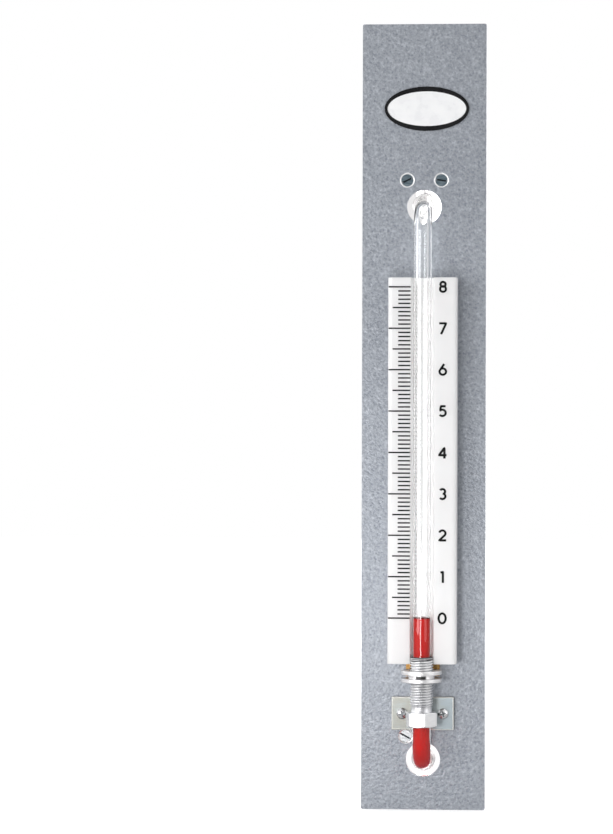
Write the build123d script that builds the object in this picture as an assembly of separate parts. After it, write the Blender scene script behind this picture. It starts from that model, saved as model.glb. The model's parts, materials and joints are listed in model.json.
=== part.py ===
from build123d import *
import os
from math import cos, radians, sin, tan

# Well-type manometer. Lengths are in millimetres.
# X runs to the right and Z upwards as one faces the scale, and Y runs back towards the wall.
# The origin is the centre of the well block's back face. "Height" always means the height above
# the panel's lower edge, and "depth" the distance below the top face of a clear block.

# Panel
PANEL_WIDTH = 76.8
PANEL_ABOVE_TRAP = 44.0
PANEL_THICKNESS = 3.2
PANEL_CORNER = 1.0
WINDOW_DIAMETER = 21.4

# Oval plate near the panel's top
OVAL_WIDTH = 52.4
OVAL_HEIGHT = 27.4
OVAL_THICKNESS = 1.0
OVAL_RIM = 1.9
OVAL_RECESS = 0.3
OVAL_BELOW_TOP = 52.6
OVAL_OFFSET = 1.5

# Clear blocks, cut from square bar. A "rise" is the height above the block's own foot, and a
# "floor" the solid depth below the bore.
BLOCK_SIDE = 38.1
BLOCK_EDGE = 0.6
BLOCK_BORE = 20.6
DRILL_POINT = 118.0
WELL_BLOCK_FOOT = 17.4
WELL_FLOOR = 23.0
WELL_BORE_BACKSET = 21.0
WELL_BORE_POINT = 143.0
WELL_NECK_DIAMETER = 4.6
WELL_PORT_RISE = 13.6
WELL_PORT_DEPTH = 25.1
WELL_PORT_SLOPE = 0.0
TRAP_FLOOR = 40.4
TRAP_BORE_BACKSET = 22.3
TRAP_BORE_POINT = 118.0
TRAP_NECK_DIAMETER = 5.8
TRAP_PORT_RISE = 16.3
TRAP_PORT_HEIGHT_ABOVE_SCALE = 44.8
TRAP_PORT_DEPTH = 29.3
TRAP_PORT_SLOPE = 14.0

# Glass-clear tube, its bends and its seals in the blocks
TUBE_DIAMETER = 11.1
TUBE_BORE = 6.35
TUBE_FIT = 0.05
TUBE_STANDOFF = 17.7
TUBE_TOP_BEND = 16.5
TUBE_FOOT_BEND = 16.3
TUBE_INSERTION = 16.2
TUBE_SHOULDER = 0.45
GLAND_SETBACK = 5.0
GLAND_WIDTH = 2.4
TUBE_RING_SECTION = 1.8
RING_CLEARANCE = 0.1

# Threaded fitting that joins the tube to its foot bend
THREAD_DIAMETER = 14.29
THREAD_LENGTH = 29.6
NECK_LENGTH = 3.5
NECK_WALL = 0.8
HEX_ACROSS_FLATS = 17.5
HEX_HEIGHT = 8.9
HEX_TURN = -16.0
HEX_CHAMFER = 0.8
ELBOW_STRAIGHT = 6.3
TUBE_STOP = 4.0
TUBE_STOP_HEIGHT = 17.0
PACKING_DIAMETER = 13.2
PACKING_DEPTH = 2.4
PACKING_PROUD = 0.6

# Zero adjusting nut
NUT_DIAMETER = 25.2
NUT_FLANGE = 2.3
NUT_GROOVE = 2.4
NUT_CORE = 16.0
NUT_ON_THREAD = 14.9
NUT_EDGE = 0.3
THREAD_FIT = 0.1

# Scale and the strip that hangs it on the nut
SCALE_WIDTH = 42.5
SCALE_DEPTH = 13.9
SCALE_HEIGHT = 237.2
SCALE_ABOVE_NUT = 3.7
SCALE_OFF_PANEL = 2.7
SCALE_CORNER = 2.7
SCALE_GROOVE_CLEARANCE = 0.25
STRIP_WIDTH = 20.8
STRIP_THICKNESS = 1.0
STRIP_MARGIN = 5.2
STRIP_BEND = 1.0
LEG_CLEARANCE = 0.3
LEG_ENGAGEMENT = 2.1
BRACKET_SCREW_ABOVE_FOOT = 12.0
BRACKET_SCREW_SPACING = 22.2
BRACKET_SCREW_HEAD = 7.0
BRACKET_SCREW_RISE = 1.3
BRACKET_SCREW_SHANK = 3.0
BRACKET_SCREW_GRIP = 5.0

# Clamp plate
CLAMP_WIDTH = 38.4
CLAMP_HEIGHT = 20.5
CLAMP_THICKNESS = 3.1
CLAMP_ABOVE_STUD = 2.0
CLAMP_EDGE = 0.4
CLAMP_SCREW_SPACING = 25.4
CLAMP_SCREW_SHANK = 3.2
CLAMP_SCREW_HEAD = 6.8
CLAMP_SCREW_RISE = 3.0
CLAMP_SCREW_GRIP = 9.0
WASHER_DIAMETER = 8.0
WASHER_THICKNESS = 1.3
STUD_DIAMETER = 8.4
STUD_SPIGOT = 6.0

# Countersunk screws through the panel into the blocks, each with its x, rise and slot angle
BLOCK_SCREW_HEAD = 7.4
BLOCK_SCREW_SHANK = 4.0
BLOCK_SCREW_GRIP = 9.6
BLOCK_SCREW_SLOT = 1.1
BLOCK_SCREW_SLOT_DEPTH = 1.0
COUNTERSINK_DIAMETER = 9.0
COUNTERSINK_ANGLE = 90.0
SCREW_CLEARANCE = 0.2
TAPPED_EXTRA = 1.2
TRAP_SCREWS = ((-10.6, 32.9, 25.0), (10.6, 32.9, -8.0))
WELL_SCREWS = ((-10.8, 27.9, -28.0), (10.8, 137.6, 12.0))

# Screw plug that closes the top of each block
CAP_OVERHANG = 0.8
CAP_HEIGHT = 7.4
CAP_CHAMFER = 1.4
CAP_GAP = 0.1
PLUG_CLEARANCE = 0.1
PLUG_LENGTH = 17.0
PLUG_RING_DEPTH = 12.5
PLUG_RING_SECTION = 2.4
CAGE_SOCKET = 2.0
STEM_CLEARANCE = 0.1
PLUG_LIP = 2.4

# Hose connector: a hollow stem with a side arm, screwed down to close and up to open
STEM_DIAMETER = 10.4
STEM_TIP_DIAMETER = 7.6
STEM_SHOULDER_DEPTH = 5.0
STEM_RING_DEPTH = 2.6
STEM_RING_SECTION = 1.8
STEM_ROUNDING = 1.6
STEM_ABOVE_ARM = 3.4
ARM_RISE = 17.9
ARM_DIAMETER = 6.4
ARM_REACH = 12.3
BARB_DIAMETER = 7.0
BARB_LAND = 2.0
BARB_NOSE = 1.6
BARB_NOSE_DIAMETER = 5.4
FLOW_BORE = 3.0
SEAT_DEPTH = 16.0
SEAT_DIAMETER = 11.0
SEAT_THICKNESS = 2.7
SEAT_EDGE = 0.4
WELL_CONNECTOR_DROP = 5.7

# Float and the clear cage that it stands in
FLOAT_DIAMETER = 12.4
FLOAT_HEIGHT = 20.3
FLOAT_COLLAR = 4.0
FLOAT_WAIST = 8.2
FLOAT_FOOT_DIAMETER = 11.2
FLOAT_FOOT = 2.4
NOTCH_WIDTH = 5.8
NOTCH_HEIGHT = 2.5
WELL_FLOAT_GAP = 1.8
TRAP_FLOAT_GAP = 5.9
FLOAT_CLEARANCE = 0.7
CAGE_WALL = 1.1
CAGE_LIP = 1.2
CAGE_LIP_BORE = 8.0
CAGE_RING = 3.5
CAGE_RING_CLEARANCE = 0.3
SNORKEL_DIAMETER = 11.0
SNORKEL_LENGTH = 8.3
SNORKEL_CLEARANCE = 0.3
TRAP_CAGE_ABOVE_POINT = 0.4
SEAT_GAP = 0.1

# Gauge liquid, which stands a little higher in the narrow tube than in the well
ZERO_ABOVE_SCALE_FOOT = 28.9
CAPILLARY_RISE = 3.0
LIQUID_FILM = 0.05

# Fits that follow from the sizes above
TUBE_HOLE = TUBE_DIAMETER + 2 * TUBE_FIT
PILOT_DIAMETER = TUBE_HOLE - 2 * TUBE_SHOULDER
GLAND_DIAMETER = TUBE_DIAMETER + 2 * TUBE_RING_SECTION + 4 * RING_CLEARANCE
FITTING_NECK = TUBE_HOLE + 2 * NECK_WALL
CAP_ACROSS_FLATS = BLOCK_BORE + 2 * CAP_OVERHANG
CAGE_BORE = FLOAT_DIAMETER + 2 * FLOAT_CLEARANCE
CAGE_DIAMETER = CAGE_BORE + 2 * CAGE_WALL
CAGE_RING_DIAMETER = BLOCK_BORE - 2 * CAGE_RING_CLEARANCE

# Depths of the floats and of the trap's bore
FLOAT_SET_LENGTH = SEAT_DEPTH + SEAT_THICKNESS + FLOAT_HEIGHT
WELL_FLOAT_FOOT_DEPTH = FLOAT_SET_LENGTH + WELL_CONNECTOR_DROP + WELL_FLOAT_GAP
TRAP_FLOAT_FOOT_DEPTH = FLOAT_SET_LENGTH + TRAP_FLOAT_GAP
TRAP_BORE_DEPTH = TRAP_FLOAT_FOOT_DEPTH + TRAP_CAGE_ABOVE_POINT

# Heights, from the well block's foot upwards
WELL_PORT_HEIGHT = WELL_BLOCK_FOOT + WELL_PORT_RISE
FITTING_FOOT = WELL_PORT_HEIGHT + TUBE_FOOT_BEND + ELBOW_STRAIGHT
HEX_TOP = FITTING_FOOT + HEX_HEIGHT
STUD_HEIGHT = FITTING_FOOT + HEX_HEIGHT / 2
CLAMP_CENTRE = STUD_HEIGHT + CLAMP_ABOVE_STUD
THREAD_FOOT = HEX_TOP + NECK_LENGTH
FITTING_TOP = THREAD_FOOT + THREAD_LENGTH
STOP_FOOT = FITTING_FOOT + TUBE_STOP_HEIGHT
NUT_FOOT = THREAD_FOOT + NUT_ON_THREAD
NUT_TOP = NUT_FOOT + 2 * NUT_FLANGE + NUT_GROOVE
LEG_FOOT = NUT_FOOT + NUT_FLANGE + LEG_CLEARANCE
SCALE_FOOT = NUT_TOP + SCALE_ABOVE_NUT
LOWER_BRACKET_SCREW = SCALE_FOOT + BRACKET_SCREW_ABOVE_FOOT
BRACKET_SCREW_HEIGHTS = (LOWER_BRACKET_SCREW, LOWER_BRACKET_SCREW + BRACKET_SCREW_SPACING)
STRIP_TOP = LOWER_BRACKET_SCREW + BRACKET_SCREW_SPACING + STRIP_MARGIN
ZERO_LEVEL = SCALE_FOOT + ZERO_ABOVE_SCALE_FOOT
WELL_LEVEL = ZERO_LEVEL - CAPILLARY_RISE
SNORKEL_DEPTH = WELL_FLOAT_FOOT_DEPTH + SEAT_GAP + CAGE_RING + SNORKEL_LENGTH
WELL_BLOCK_TOP = WELL_LEVEL + SNORKEL_DEPTH + SNORKEL_CLEARANCE
WELL_BLOCK_HEIGHT = WELL_BLOCK_TOP - WELL_BLOCK_FOOT
WELL_BORE_DEPTH = WELL_BLOCK_HEIGHT - WELL_FLOOR
TRAP_PORT_HEIGHT = SCALE_FOOT + SCALE_HEIGHT + TRAP_PORT_HEIGHT_ABOVE_SCALE
TRAP_BLOCK_FOOT = TRAP_PORT_HEIGHT - TRAP_PORT_RISE
TRAP_BLOCK_HEIGHT = TRAP_BORE_DEPTH + TRAP_FLOOR
TRAP_BLOCK_TOP = TRAP_BLOCK_FOOT + TRAP_BLOCK_HEIGHT
PANEL_HEIGHT = TRAP_BLOCK_TOP + PANEL_ABOVE_TRAP
PANEL_FOOT_Z = -(WELL_BLOCK_FOOT + WELL_BLOCK_HEIGHT / 2)

# Places from front to back
BLOCK_FRONT_Y = -BLOCK_SIDE
PANEL_FRONT_Y = BLOCK_FRONT_Y - PANEL_THICKNESS
TUBE_Y = PANEL_FRONT_Y - TUBE_STANDOFF
SCALE_BACK_Y = PANEL_FRONT_Y - SCALE_OFF_PANEL
CLAMP_BACK_Y = PANEL_FRONT_Y - WASHER_THICKNESS
CLAMP_FRONT_Y = CLAMP_BACK_Y - CLAMP_THICKNESS
OVERRUN = 5.0


def height(value):
    """The Z of a height above the panel's lower edge."""
    return value + PANEL_FOOT_Z


def point_length(diameter, end_diameter, angle):
    """How far a drilled hole's point runs on as it narrows to end_diameter."""
    return (diameter - end_diameter) / 2 / tan(radians(angle / 2))


def turned(*outline):
    """A solid turned about Z from (radius, z) corners."""
    return revolve(make_face(Plane.XZ * Polyline(*outline, close=True)), Axis.Z)


def ring(section, radius, z):
    """A round rubber ring about Z, given by its section and the radius of its middle."""
    return Pos(0, 0, z) * Torus(radius, section / 2)


def facing_front(x, y, z):
    """A place whose own Z points forwards, out of the panel."""
    return Pos(x, y, z) * Rot(X=90)


def rod(place, diameter, start, end):
    """A cylinder along the place's own Z, from start to end."""
    return place * Pos(0, 0, (start + end) / 2) * Cylinder(diameter / 2, abs(end - start))


def hexagon(across_flats, tall, chamfer_size, both_ends):
    """A hexagon bar standing on z = 0, with its corners turned off at the top or at both ends."""
    bar = extrude(RegularPolygon(across_flats / 2, 6, major_radius=False), tall)
    low, flat = (chamfer_size if both_ends else 0), across_flats / 2
    corner = flat + 2 * chamfer_size
    foot = [(flat, 0), (corner, low)] if both_ends else [(corner, 0)]
    return bar & turned((0, 0), *foot, (corner, tall - chamfer_size), (flat, tall), (0, tall))


def screw_places(screws, block_foot):
    """The x, height and slot angle of each screw of a block."""
    return [(x, block_foot + rise, angle) for x, rise, angle in screws]


def port(slope, port_height):
    """The place of a tube's hole in a block's front face, with its own Z going into the block."""
    return Pos(0, BLOCK_FRONT_Y, height(port_height)) * Rot(X=slope - 90)


def port_hole(slope, port_height, depth):
    """The stepped hole for a tube, with the groove for its rubber ring."""
    r, groove, pilot = TUBE_HOLE / 2, GLAND_DIAMETER / 2, PILOT_DIAMETER / 2
    groove_end = GLAND_SETBACK + GLAND_WIDTH
    return port(slope, port_height) * turned(
        (0, -OVERRUN), (r, -OVERRUN), (r, GLAND_SETBACK), (groove, GLAND_SETBACK),
        (groove, groove_end), (r, groove_end), (r, TUBE_INSERTION), (pilot, TUBE_INSERTION), (pilot, depth),
        (0, depth + point_length(PILOT_DIAMETER, 0, DRILL_POINT)),
    )


def tapped_holes(block, places, shank, grip):
    """Blind holes from the block's front face for screws at places that begin with x and height."""
    r = shank / 2 + SCREW_CLEARANCE / 2
    depth = grip + TAPPED_EXTRA
    tip = depth + point_length(2 * r, 0, DRILL_POINT)
    for x, screw_height, *_ in places:
        drill = turned((0, -tip), (r, -depth), (r, OVERRUN), (0, OVERRUN))
        block -= facing_front(x, BLOCK_FRONT_Y, height(screw_height)) * drill
    return block


def bored_block(foot, tall, backset, bore_depth, bore_point, neck_diameter, slope, port_height, port_depth):
    """A clear block with its chamber, the neck below it and the tube's port."""
    bore_y = BLOCK_FRONT_Y + backset
    block = chamfer(Box(BLOCK_SIDE, BLOCK_SIDE, tall).edges(), BLOCK_EDGE)
    block = Pos(0, BLOCK_FRONT_Y + BLOCK_SIDE / 2, height(foot + tall / 2)) * block
    bore, neck = BLOCK_BORE / 2, neck_diameter / 2
    port_drop = foot + tall - port_height - backset * tan(radians(slope))
    point = bore_depth + point_length(BLOCK_BORE, neck_diameter, bore_point)
    chamber = turned(
        (0, OVERRUN), (bore, OVERRUN), (bore, -bore_depth), (neck, -point), (neck, -port_drop),
        (0, -port_drop),
    )
    block -= Pos(0, bore_y, height(foot + tall)) * chamber
    return block - port_hole(slope, port_height, port_depth)


def well_block():
    block = bored_block(
        WELL_BLOCK_FOOT, WELL_BLOCK_HEIGHT, WELL_BORE_BACKSET, WELL_BORE_DEPTH, WELL_BORE_POINT,
        WELL_NECK_DIAMETER, WELL_PORT_SLOPE, WELL_PORT_HEIGHT, WELL_PORT_DEPTH,
    )
    screws = screw_places(WELL_SCREWS, WELL_BLOCK_FOOT)
    block = tapped_holes(block, screws, BLOCK_SCREW_SHANK, BLOCK_SCREW_GRIP)
    clamps = [(x, CLAMP_CENTRE) for x in clamp_screw_places()]
    return tapped_holes(block, clamps, CLAMP_SCREW_SHANK, CLAMP_SCREW_GRIP)


def trap_block():
    block = bored_block(
        TRAP_BLOCK_FOOT, TRAP_BLOCK_HEIGHT, TRAP_BORE_BACKSET, TRAP_BORE_DEPTH, TRAP_BORE_POINT,
        TRAP_NECK_DIAMETER, TRAP_PORT_SLOPE, TRAP_PORT_HEIGHT, TRAP_PORT_DEPTH,
    )
    screws = screw_places(TRAP_SCREWS, TRAP_BLOCK_FOOT)
    return tapped_holes(block, screws, BLOCK_SCREW_SHANK, BLOCK_SCREW_GRIP)


def clamp_screw_places():
    return (-CLAMP_SCREW_SPACING / 2, CLAMP_SCREW_SPACING / 2)


def back_panel():
    """The painted plate, with a window for each end of the tube and its screw holes."""
    panel = Box(PANEL_WIDTH, PANEL_THICKNESS, PANEL_HEIGHT)
    panel = fillet(panel.edges().filter_by(Axis.Y), PANEL_CORNER)
    panel = Pos(0, PANEL_FRONT_Y + PANEL_THICKNESS / 2, height(PANEL_HEIGHT / 2)) * panel
    for window_height in (WELL_PORT_HEIGHT, TRAP_PORT_HEIGHT):
        window = facing_front(0, PANEL_FRONT_Y, height(window_height))
        panel -= rod(window, WINDOW_DIAMETER, -PANEL_THICKNESS - OVERRUN, OVERRUN)
    sink, hole = COUNTERSINK_DIAMETER / 2, BLOCK_SCREW_SHANK / 2 + SCREW_CLEARANCE
    sink_depth = (sink - hole) / tan(radians(COUNTERSINK_ANGLE / 2))
    countersink = turned(
        (0, OVERRUN), (sink, OVERRUN), (sink, 0), (hole, -sink_depth), (hole, -PANEL_THICKNESS - 1),
        (0, -PANEL_THICKNESS - 1),
    )
    screws = screw_places(TRAP_SCREWS, TRAP_BLOCK_FOOT) + screw_places(WELL_SCREWS, WELL_BLOCK_FOOT)
    for x, screw_height, _ in screws:
        panel -= facing_front(x, PANEL_FRONT_Y, height(screw_height)) * countersink
    for x in clamp_screw_places():
        place = facing_front(x, PANEL_FRONT_Y, height(CLAMP_CENTRE))
        panel -= rod(place, CLAMP_SCREW_SHANK + 2 * SCREW_CLEARANCE, -PANEL_THICKNESS - 1, 1)
    return panel


def oval_plate():
    """A thin bare oval with a raised rim."""
    centre = height(PANEL_HEIGHT - OVAL_BELOW_TOP)
    plate = extrude(Ellipse(OVAL_WIDTH / 2, OVAL_HEIGHT / 2), OVAL_THICKNESS)
    recess = extrude(Ellipse(OVAL_WIDTH / 2 - OVAL_RIM, OVAL_HEIGHT / 2 - OVAL_RIM), OVAL_RECESS)
    plate -= Pos(0, 0, OVAL_THICKNESS - OVAL_RECESS) * recess
    return facing_front(OVAL_OFFSET, PANEL_FRONT_Y, centre) * plate


def block_screws(screws):
    """Countersunk slotted screws, each with its own slot angle."""
    head, shank = BLOCK_SCREW_HEAD / 2, BLOCK_SCREW_SHANK / 2
    sink = (COUNTERSINK_DIAMETER - BLOCK_SCREW_HEAD) / 2 - SCREW_CLEARANCE / 2
    top = -sink / tan(radians(COUNTERSINK_ANGLE / 2))
    cone = top - (head - shank) / tan(radians(COUNTERSINK_ANGLE / 2))
    tip = -PANEL_THICKNESS - BLOCK_SCREW_GRIP
    screw = turned((0, tip), (shank, tip), (shank, cone), (head, top), (0, top))
    slot = Pos(0, 0, top) * Box(BLOCK_SCREW_HEAD + 1, BLOCK_SCREW_SLOT, 2 * BLOCK_SCREW_SLOT_DEPTH)
    return Compound([
        facing_front(x, PANEL_FRONT_Y, height(h)) * (screw - Rot(Z=angle) * slot) for x, h, angle in screws
    ])


def route(*points):
    """A path in the plane x = 0 through (y, z) points."""
    return [Vector(0, y, z) for y, z in points]


def swept(diameter, path):
    """A round bar along a path."""
    return sweep(Plane(path @ 0, z_dir=path % 0) * Circle(diameter / 2), path=path)


def port_point(slope, port_height, depth):
    """The (y, z) point on a port's centre line at a distance into the block."""
    angle = radians(slope)
    return BLOCK_FRONT_Y + depth * cos(angle), height(port_height) + depth * sin(angle)


def tube_corner(slope, port_height):
    """The (y, z) point where a port's centre line meets the upright tube's."""
    return TUBE_Y, height(port_height) + (TUBE_Y - BLOCK_FRONT_Y) * tan(radians(slope))


def indicating_tube():
    """The clear tube: straight beside the scale, bent back at the top into the trap block."""
    path = FilletPolyline(
        *route(port_point(TRAP_PORT_SLOPE, TRAP_PORT_HEIGHT, TUBE_INSERTION),
               tube_corner(TRAP_PORT_SLOPE, TRAP_PORT_HEIGHT),
               (TUBE_Y, height(STOP_FOOT + TUBE_STOP))),
        radius=TUBE_TOP_BEND,
    )
    return swept(TUBE_DIAMETER, path) - swept(TUBE_BORE, path)


def elbow_tube():
    """The foot bend from the well block up into the fitting."""
    path = FilletPolyline(
        *route(port_point(WELL_PORT_SLOPE, WELL_PORT_HEIGHT, TUBE_INSERTION),
               tube_corner(WELL_PORT_SLOPE, WELL_PORT_HEIGHT), (TUBE_Y, height(STOP_FOOT))),
        radius=TUBE_FOOT_BEND,
    )
    return swept(TUBE_DIAMETER, path) - swept(TUBE_BORE, path)


def tube_liquid():
    """The liquid in the foot bend, the fitting and the tube, up to the zero line."""
    path = FilletPolyline(
        *route(port_point(WELL_PORT_SLOPE, WELL_PORT_HEIGHT, TUBE_INSERTION),
               tube_corner(WELL_PORT_SLOPE, WELL_PORT_HEIGHT), (TUBE_Y, height(ZERO_LEVEL))),
        radius=TUBE_FOOT_BEND,
    )
    return swept(TUBE_BORE - 2 * LIQUID_FILM, path)


def well_liquid():
    """The liquid that stands in the well, its neck and the end of its port."""
    bore, neck = BLOCK_BORE / 2 - LIQUID_FILM, WELL_NECK_DIAMETER / 2 - LIQUID_FILM
    floor = height(WELL_BLOCK_FOOT + WELL_BLOCK_HEIGHT - WELL_BORE_DEPTH) + LIQUID_FILM
    neck_top = floor - point_length(BLOCK_BORE, WELL_NECK_DIAMETER, WELL_BORE_POINT)
    level = height(WELL_LEVEL)
    axis_z = height(WELL_PORT_HEIGHT)
    pool = turned((0, axis_z), (neck, axis_z), (neck, neck_top), (bore, floor), (bore, level), (0, level))
    pool = Pos(0, BLOCK_FRONT_Y + WELL_BORE_BACKSET, 0) * pool
    end, start = PILOT_DIAMETER / 2 - LIQUID_FILM, TUBE_INSERTION + LIQUID_FILM
    tip = WELL_PORT_DEPTH + point_length(PILOT_DIAMETER, 0, DRILL_POINT) - 2 * LIQUID_FILM
    channel = turned((0, start), (end, start), (end, WELL_PORT_DEPTH - LIQUID_FILM), (0, tip))
    return pool + port(WELL_PORT_SLOPE, WELL_PORT_HEIGHT) * channel


def tube_ring(slope, port_height):
    """The rubber ring that seals a tube in its port."""
    radius = TUBE_DIAMETER / 2 + TUBE_RING_SECTION / 2 + RING_CLEARANCE
    return port(slope, port_height) * ring(TUBE_RING_SECTION, radius, GLAND_SETBACK + GLAND_WIDTH / 2)


def fitting_outside():
    """The fitting before boring, about its own axis, with its underside at the fitting's foot."""
    foot, top = height(FITTING_FOOT), height(FITTING_TOP)
    nut = Pos(0, 0, foot) * Rot(Z=HEX_TURN) * hexagon(HEX_ACROSS_FLATS, HEX_HEIGHT, HEX_CHAMFER, True)
    neck_foot, thread_foot = height(HEX_TOP), height(THREAD_FOOT)
    return nut + turned((0, foot), (FITTING_NECK / 2, foot), (FITTING_NECK / 2, thread_foot),
                        (THREAD_DIAMETER / 2, thread_foot), (THREAD_DIAMETER / 2, top), (0, top))


def tube_fitting():
    """The plated fitting: a hexagon, a long thread for the zero nut, and a stop between the tubes."""
    hole, bore, packing = TUBE_HOLE / 2, TUBE_BORE / 2, PACKING_DIAMETER / 2 + TUBE_FIT
    foot, top, stop = height(FITTING_FOOT), height(FITTING_TOP), height(STOP_FOOT)
    inside = turned(
        (0, foot - 1), (hole, foot - 1), (hole, stop), (bore, stop), (bore, stop + TUBE_STOP),
        (hole, stop + TUBE_STOP), (hole, top - PACKING_DEPTH), (packing, top - PACKING_DEPTH),
        (packing, top + 1), (0, top + 1),
    )
    return Pos(0, TUBE_Y, 0) * (fitting_outside() - inside)


def packing_ring():
    """The rubber packing round the tube in the fitting's mouth."""
    inner, outer = TUBE_HOLE / 2, PACKING_DIAMETER / 2
    low, high = height(FITTING_TOP - PACKING_DEPTH), height(FITTING_TOP + PACKING_PROUD)
    return Pos(0, TUBE_Y, 0) * turned((inner, low), (outer, low), (outer, high), (inner, high))


def zero_nut():
    """The flanged nut whose groove carries the foot of the scale's strip."""
    bore, core, flange = THREAD_DIAMETER / 2 + THREAD_FIT, NUT_CORE / 2, NUT_DIAMETER / 2
    foot = height(NUT_FOOT)
    low, high = foot + NUT_FLANGE, foot + NUT_FLANGE + NUT_GROOVE
    top, edge = high + NUT_FLANGE, NUT_EDGE
    return Pos(0, TUBE_Y, 0) * turned(
        (bore, foot), (flange - edge, foot), (flange, foot + edge), (flange, low - edge),
        (flange - edge, low), (core, low), (core, high), (flange - edge, high), (flange, high + edge),
        (flange, top - edge), (flange - edge, top), (bore, top),
    )


def scale_bar():
    """The white scale body, with a groove from end to end that clears the tube and the fitting's thread."""
    middle_y = SCALE_BACK_Y - SCALE_DEPTH / 2
    bar = Box(SCALE_WIDTH, SCALE_DEPTH, SCALE_HEIGHT)
    front_edges = bar.edges().filter_by(Axis.Z).group_by(Axis.Y)[0]
    bar = fillet(front_edges, SCALE_CORNER)
    bar = Pos(0, middle_y, height(SCALE_FOOT + SCALE_HEIGHT / 2)) * bar
    tube_axis = Pos(0, TUBE_Y, height(SCALE_FOOT))
    bar -= rod(tube_axis, THREAD_DIAMETER + 2 * SCALE_GROOVE_CLEARANCE, -1, SCALE_HEIGHT + 1)
    for screw_height in BRACKET_SCREW_HEIGHTS:
        place = Pos(0, SCALE_BACK_Y, height(screw_height)) * Rot(X=90)
        bar -= rod(place, BRACKET_SCREW_SHANK + SCREW_CLEARANCE, -1, BRACKET_SCREW_GRIP + TAPPED_EXTRA)
    return bar


def scale_bracket():
    """The brass strip up the scale's back, bent forwards at its foot into the nut's groove."""
    back, foot = SCALE_BACK_Y + STRIP_THICKNESS, height(LEG_FOOT)
    tip_y = TUBE_Y + NUT_DIAMETER / 2 - LEG_ENGAGEMENT
    inner, outer = STRIP_BEND, STRIP_BEND + STRIP_THICKNESS
    upright_z = (foot + outer + height(STRIP_TOP)) / 2
    upright = Pos(0, back - STRIP_THICKNESS / 2, upright_z) * Box(
        STRIP_WIDTH, STRIP_THICKNESS, height(STRIP_TOP) - foot - outer)
    leg_start = back - outer
    leg = Pos(0, (leg_start + tip_y) / 2, foot + STRIP_THICKNESS / 2) * Box(
        STRIP_WIDTH, leg_start - tip_y, STRIP_THICKNESS)
    bend = Pos(0, leg_start, foot + outer) * Rot(Y=90) * (
        Cylinder(outer, STRIP_WIDTH) - Cylinder(inner, STRIP_WIDTH))
    corner = Pos(0, leg_start + outer / 2, foot + outer / 2) * Box(STRIP_WIDTH, outer, outer)
    strip = upright + leg + (bend & corner)
    for screw_height in BRACKET_SCREW_HEIGHTS:
        place = Pos(0, back, height(screw_height)) * Rot(X=90)
        strip -= rod(place, BRACKET_SCREW_SHANK + SCREW_CLEARANCE, -1, STRIP_THICKNESS + 1)
    return strip


def bracket_screws():
    """Low round-headed screws that hold the strip to the scale's back."""
    head, shank, rise = BRACKET_SCREW_HEAD / 2, BRACKET_SCREW_SHANK / 2, BRACKET_SCREW_RISE
    tip = STRIP_THICKNESS + BRACKET_SCREW_GRIP
    screw = turned((0, tip), (shank, tip), (shank, 0), (head, 0), (head, -rise / 2),
                   (head - rise / 2, -rise), (0, -rise))
    place_y = SCALE_BACK_Y + STRIP_THICKNESS
    return Compound([Pos(0, place_y, height(h)) * Rot(X=90) * screw for h in BRACKET_SCREW_HEIGHTS])


def clamp_plate():
    """The plated plate that carries the fitting on its stud."""
    middle_y = (CLAMP_BACK_Y + CLAMP_FRONT_Y) / 2
    plate = chamfer(Box(CLAMP_WIDTH, CLAMP_THICKNESS, CLAMP_HEIGHT).edges(), CLAMP_EDGE)
    plate = Pos(0, middle_y, height(CLAMP_CENTRE)) * plate
    for x in clamp_screw_places():
        place = facing_front(x, CLAMP_BACK_Y, height(CLAMP_CENTRE))
        plate -= rod(place, CLAMP_SCREW_SHANK + 2 * SCREW_CLEARANCE, -1, CLAMP_THICKNESS + 1)
    stud = facing_front(0, CLAMP_BACK_Y, height(STUD_HEIGHT))
    return plate - rod(stud, STUD_SPIGOT + SCREW_CLEARANCE, -1, CLAMP_THICKNESS + 1)


def clamp_stud():
    """The short stud between the plate and the fitting's hexagon."""
    place = facing_front(0, CLAMP_BACK_Y, height(STUD_HEIGHT))
    stud = rod(place, STUD_SPIGOT, 0, CLAMP_THICKNESS + 0.5)
    stud += rod(place, STUD_DIAMETER, CLAMP_THICKNESS, CLAMP_BACK_Y - TUBE_Y)
    return stud - Pos(0, TUBE_Y, 0) * fitting_outside()


def clamp_washers():
    """Washers that hold the clamp plate off the paint."""
    inner, outer = CLAMP_SCREW_SHANK / 2 + SCREW_CLEARANCE, WASHER_DIAMETER / 2
    washer = turned((inner, 0), (outer, 0), (outer, WASHER_THICKNESS), (inner, WASHER_THICKNESS))
    return Compound([
        facing_front(x, PANEL_FRONT_Y, height(CLAMP_CENTRE)) * washer for x in clamp_screw_places()
    ])


def clamp_screws():
    """Round-headed cross-recess screws through plate, washer and panel into the well block."""
    head, shank, rise = CLAMP_SCREW_HEAD / 2, CLAMP_SCREW_SHANK / 2, CLAMP_SCREW_RISE
    tip = -(CLAMP_THICKNESS + WASHER_THICKNESS + PANEL_THICKNESS + CLAMP_SCREW_GRIP)
    shaft = turned((0, tip), (shank, tip), (shank, 0.1), (0, 0.1))
    side = rise / 3
    crown = (head ** 2 + (rise - side) ** 2) / (2 * (rise - side))
    dome = Pos(0, 0, rise - crown) * Sphere(crown) & Pos(0, 0, rise / 2) * Cylinder(head, rise)
    recess = Box(head * 1.1, head / 4, rise) + Box(head / 4, head * 1.1, rise)
    screw = shaft + dome - Pos(0, 0, rise) * Rot(Z=20) * recess
    return Compound([
        facing_front(x, CLAMP_FRONT_Y, height(CLAMP_CENTRE)) * screw for x in clamp_screw_places()
    ])


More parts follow.
